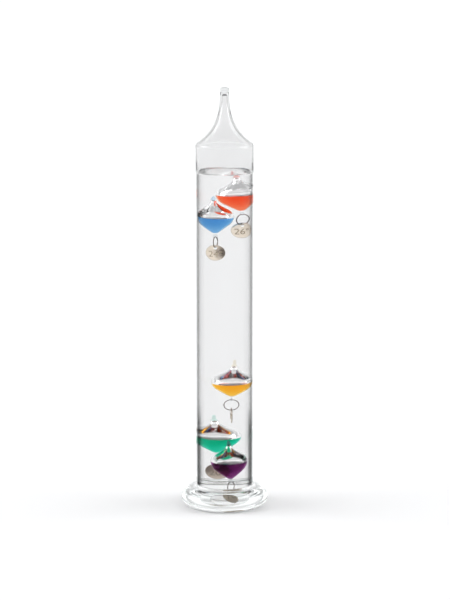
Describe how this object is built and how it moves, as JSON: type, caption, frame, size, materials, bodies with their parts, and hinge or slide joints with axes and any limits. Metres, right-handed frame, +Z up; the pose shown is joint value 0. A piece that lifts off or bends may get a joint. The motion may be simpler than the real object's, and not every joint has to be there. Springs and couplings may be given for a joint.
{
  "type": "galileo thermometer",
  "caption": "Sealed glass column of clear liquid on a glass foot, with coloured glass floats and hanging metal tags that rise and sink to show the temperature.",
  "frame": {"origin": "centre of the foot on the surface it stands on", "axes": "+Z up along the column, -Y towards the front, +X to the right seen from the front"},
  "size_m": [0.0574, 0.0574, 0.28],
  "materials": {
    "foot_glass": "polished",
    "tube_glass": "polished",
    "tip_glass": "polished",
    "liquid": "clear",
    "float_glass": "polished",
    "red_dye": "clear",
    "red_seal": "satin",
    "blue_dye": "clear",
    "blue_seal": "satin",
    "yellow_dye": "clear",
    "yellow_seal": "satin",
    "green_dye": "clear",
    "green_seal": "satin",
    "purple_dye": "clear",
    "purple_seal": "satin",
    "eye_glass": "polished",
    "ring_wire": "drawn",
    "tag_metal": "satin"
  },
  "bodies": {
    "column": {"foot": "foot_glass", "glass_tube": "tube_glass", "tip_seal": "tip_glass", "clear_liquid": "liquid"},
    "red_float": {"red_dye": "red_dye"},
    "red_bulb": {"red_vessel": "float_glass", "red_seal": "red_seal", "red_eye": "eye_glass"},
    "red_link": {"red_ring": "ring_wire"},
    "red_label": {"red_tag": "tag_metal"},
    "blue_float": {"blue_dye": "blue_dye"},
    "blue_bulb": {"blue_vessel": "float_glass", "blue_seal": "blue_seal", "blue_eye": "eye_glass"},
    "blue_link": {"blue_ring": "ring_wire"},
    "blue_label": {"blue_tag": "tag_metal"},
    "yellow_float": {"yellow_dye": "yellow_dye"},
    "yellow_bulb": {"yellow_vessel": "float_glass", "yellow_seal": "yellow_seal", "yellow_eye": "eye_glass"},
    "yellow_link": {"yellow_ring": "ring_wire"},
    "yellow_label": {"yellow_tag": "tag_metal"},
    "green_float": {"green_dye": "green_dye"},
    "green_bulb": {"green_vessel": "float_glass", "green_seal": "green_seal", "green_eye": "eye_glass"},
    "green_link": {"green_ring": "ring_wire"},
    "green_label": {"green_tag": "tag_metal"},
    "purple_float": {"purple_dye": "purple_dye"},
    "purple_bulb": {"purple_vessel": "float_glass", "purple_seal": "purple_seal", "purple_eye": "eye_glass"},
    "purple_link": {"purple_ring": "ring_wire"},
    "purple_label": {"purple_tag": "tag_metal"}
  },
  "joints": [
    {"name": "red_rise", "type": "slide", "parent": "column", "child": "red_float", "axis": [0, 0, 1], "range_m": [-0.022, 0], "stiffness_N_per_m": 1, "springref_m": 0.2, "deforming": ["clear_liquid"]},
    {"name": "red_spin", "type": "hinge", "parent": "red_float", "child": "red_bulb", "pos_m": [0.00635, 0.0029, 0.2099], "axis": [-0.1045, 0, 0.9945], "continuous": true, "deforming": ["clear_liquid"]},
    {"name": "red_ring_swing", "type": "hinge", "parent": "red_bulb", "child": "red_link", "pos_m": [0.00773, 0.0029, 0.19655], "axis": [-0.7771, 0.6293, 0], "range_deg": [-7, 7], "deforming": ["clear_liquid"]},
    {"name": "red_tag_swing", "type": "hinge", "parent": "red_link", "child": "red_label", "pos_m": [0.00773, 0.0029, 0.18955], "axis": [0.1736, 0.9848, 0], "range_deg": [-20, 20], "deforming": ["clear_liquid"]},
    {"name": "blue_rise", "type": "slide", "parent": "red_float", "child": "blue_float", "axis": [0, 0, 1], "range_m": [-0.044, 0], "stiffness_N_per_m": 1, "springref_m": 0.1, "deforming": ["clear_liquid"]},
    {"name": "blue_spin", "type": "hinge", "parent": "blue_float", "child": "blue_bulb", "pos_m": [-0.0053, -0.0048, 0.1958], "axis": [-0.0436, 0, 0.999], "continuous": true, "deforming": ["clear_liquid"]},
    {"name": "blue_ring_swing", "type": "hinge", "parent": "blue_bulb", "child": "blue_link", "pos_m": [-0.00473, -0.0048, 0.18259], "axis": [-0.9135, 0.4067, 0], "range_deg": [-20, 20], "deforming": ["clear_liquid"]},
    {"name": "blue_tag_swing", "type": "hinge", "parent": "blue_link", "child": "blue_label", "pos_m": [-0.00473, -0.0048, 0.17559], "axis": [0.1045, 0.9945, 0], "range_deg": [-25, 25], "deforming": ["clear_liquid"]},
    {"name": "yellow_rise", "type": "slide", "parent": "green_float", "child": "yellow_float", "axis": [0, 0, 1], "range_m": [0, 0.036], "deforming": ["clear_liquid"]},
    {"name": "yellow_spin", "type": "hinge", "parent": "yellow_float", "child": "yellow_bulb", "pos_m": [0.00385, -0.0003, 0.0838], "axis": [0.0576, 0, 0.9983], "continuous": true, "deforming": ["clear_liquid"]},
    {"name": "yellow_ring_swing", "type": "hinge", "parent": "yellow_bulb", "child": "yellow_link", "pos_m": [0.0032, -0.0003, 0.0723], "axis": [-0.0698, 0.9976, 0], "range_deg": [-20, 20], "deforming": ["clear_liquid"]},
    {"name": "yellow_tag_swing", "type": "hinge", "parent": "yellow_link", "child": "yellow_label", "pos_m": [0.0032, -0.0003, 0.0653], "axis": [0.9903, 0.1392, 0], "range_deg": [-25, 25], "deforming": ["clear_liquid"]},
    {"name": "green_rise", "type": "slide", "parent": "purple_float", "child": "green_float", "axis": [0, 0, 1], "range_m": [0, 0.018], "deforming": ["clear_liquid"]},
    {"name": "green_spin", "type": "hinge", "parent": "green_float", "child": "green_bulb", "pos_m": [-0.0036, 0.0057, 0.0458], "axis": [-0.0489, 0, 0.9988], "range_deg": [-40, 12], "deforming": ["clear_liquid"]},
    {"name": "green_ring_swing", "type": "hinge", "parent": "green_bulb", "child": "green_link", "pos_m": [-0.00298, 0.0057, 0.03279], "axis": [-0.9135, 0.4067, 0], "range_deg": [-6, 6], "deforming": ["clear_liquid"]},
    {"name": "green_tag_swing", "type": "hinge", "parent": "green_link", "child": "green_label", "pos_m": [-0.00298, 0.0057, 0.02579], "axis": [-0.1032, 0.9823, -0.1564], "range_deg": [-20, 20], "deforming": ["clear_liquid"]},
    {"name": "purple_rise", "type": "slide", "parent": "column", "child": "purple_float", "axis": [0, 0, 1], "range_m": [0, 0.012], "deforming": ["clear_liquid"]},
    {"name": "purple_spin", "type": "hinge", "parent": "purple_float", "child": "purple_bulb", "pos_m": [0.0027, -0.0059, 0.0311], "axis": [-0.0419, 0, 0.9991], "range_deg": [0, 40], "deforming": ["clear_liquid"]},
    {"name": "purple_ring_swing", "type": "hinge", "parent": "purple_bulb", "child": "purple_link", "pos_m": [0.00329, -0.0059, 0.01704], "axis": [-0.8988, 0.4384, 0], "range_deg": [-12, 0], "deforming": ["clear_liquid"]},
    {"name": "purple_tag_swing", "type": "hinge", "parent": "purple_link", "child": "purple_label", "pos_m": [0.00394, -0.00457, 0.01037], "axis": [0.9945, -0.1045, 0], "range_deg": [0, 16], "deforming": ["clear_liquid"]}
  ]
}
